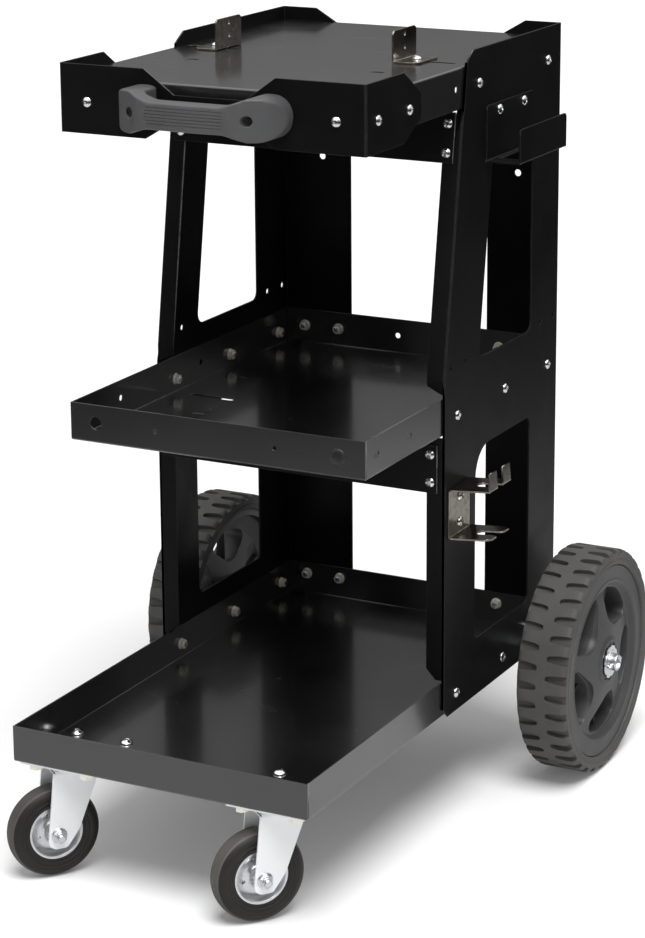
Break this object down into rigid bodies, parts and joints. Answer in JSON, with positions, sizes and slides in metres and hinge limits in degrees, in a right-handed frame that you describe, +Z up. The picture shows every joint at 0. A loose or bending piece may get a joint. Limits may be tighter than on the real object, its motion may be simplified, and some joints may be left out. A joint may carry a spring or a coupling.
{
  "type": "trolley",
  "caption": "Three-shelf workshop trolley of folded black sheet with a grey bow handle, swivel casters in front, large rear wheels, a cable hook and a torch holder.",
  "frame": {"origin": "on the floor, at the centre of the footprint: halfway across, and halfway between the casters' front and the rear wheels' back", "axes": "+Z up, -Y towards the handle and the casters, +X towards the side with the cable hook and the torch holder"},
  "size_m": [0.568, 0.7094, 0.8742],
  "materials": {
    "black_powder": "glossy powder coat",
    "zinc_steel": "bright zinc plate",
    "bright_steel": "polished nickel plate",
    "handle_grey": "satin moulded",
    "rim_plastic": "satin moulded",
    "plug_plastic": "satin moulded",
    "caster_rubber": "satin",
    "tyre_rubber": "satin"
  },
  "bodies": {
    "cart": {"bottom_tray": "black_powder", "middle_tray": "black_powder", "top_plate": "black_powder", "left_panel": "black_powder", "right_panel": "black_powder", "front_bracket": "black_powder", "handle": "handle_grey", "handle_screws": "bright_steel", "handle_nuts": "zinc_steel", "bracket_screws": "bright_steel", "bracket_nuts": "zinc_steel", "upper_crossbar": "black_powder", "lower_crossbar": "black_powder", "crossbar_screws": "bright_steel", "crossbar_nuts": "zinc_steel", "panel_screws": "bright_steel", "panel_nuts": "zinc_steel", "cable_hook": "black_powder", "torch_holder": "black_powder", "accessory_screws": "bright_steel", "accessory_nuts": "zinc_steel", "blanking_plug": "plug_plastic", "caster_plates": "zinc_steel", "caster_races": "zinc_steel", "caster_bolts": "bright_steel", "caster_nuts": "zinc_steel", "kingpins": "zinc_steel", "stub_axles": "zinc_steel", "axle_spacers": "zinc_steel", "axle_washers": "zinc_steel", "split_pins": "zinc_steel"},
    "left_angle_slide": {"left_angle": "zinc_steel", "left_angle_screw": "bright_steel", "left_angle_nut": "zinc_steel"},
    "right_angle_slide": {"right_angle": "zinc_steel", "right_angle_screw": "bright_steel", "right_angle_nut": "zinc_steel"},
    "left_swivel": {"left_fork": "zinc_steel", "left_caster_bolt": "zinc_steel", "left_caster_nut": "zinc_steel", "left_caster_bush": "zinc_steel"},
    "left_caster": {"left_caster_rim": "zinc_steel", "left_caster_tyre": "caster_rubber"},
    "right_swivel": {"right_fork": "zinc_steel", "right_caster_bolt": "zinc_steel", "right_caster_nut": "zinc_steel", "right_caster_bush": "zinc_steel"},
    "right_caster": {"right_caster_rim": "zinc_steel", "right_caster_tyre": "caster_rubber"},
    "left_rear_wheel": {"left_rear_rim": "rim_plastic", "left_rear_tyre": "tyre_rubber"},
    "right_rear_wheel": {"right_rear_rim": "rim_plastic", "right_rear_tyre": "tyre_rubber"}
  },
  "joints": [
    {"name": "left_angle_travel", "type": "slide", "parent": "cart", "child": "left_angle_slide", "axis": [1, 0, 0], "range_m": [-0.025, 0.025]},
    {"name": "right_angle_travel", "type": "slide", "parent": "cart", "child": "right_angle_slide", "axis": [1, 0, 0], "range_m": [-0.015, 0.04]},
    {"name": "left_swivel_turn", "type": "hinge", "parent": "cart", "child": "left_swivel", "pos_m": [-0.124, -0.28329, 0.1], "axis": [0, 0, 1], "continuous": true},
    {"name": "right_swivel_turn", "type": "hinge", "parent": "cart", "child": "right_swivel", "pos_m": [0.124, -0.28329, 0.1], "axis": [0, 0, 1], "continuous": true},
    {"name": "left_caster_spin", "type": "hinge", "parent": "left_swivel", "child": "left_caster", "pos_m": [-0.14555, -0.31087, 0.05], "axis": [0.788, -0.6157, 0], "continuous": true},
    {"name": "right_caster_spin", "type": "hinge", "parent": "right_swivel", "child": "right_caster", "pos_m": [0.10245, -0.31087, 0.05], "axis": [0.788, -0.6157, 0], "continuous": true},
    {"name": "left_rear_spin", "type": "hinge", "parent": "cart", "child": "left_rear_wheel", "pos_m": [-0.241, 0.22471, 0.13], "axis": [1, 0, 0], "continuous": true},
    {"name": "right_rear_spin", "type": "hinge", "parent": "cart", "child": "right_rear_wheel", "pos_m": [0.241, 0.22471, 0.13], "axis": [1, 0, 0], "continuous": true}
  ]
}
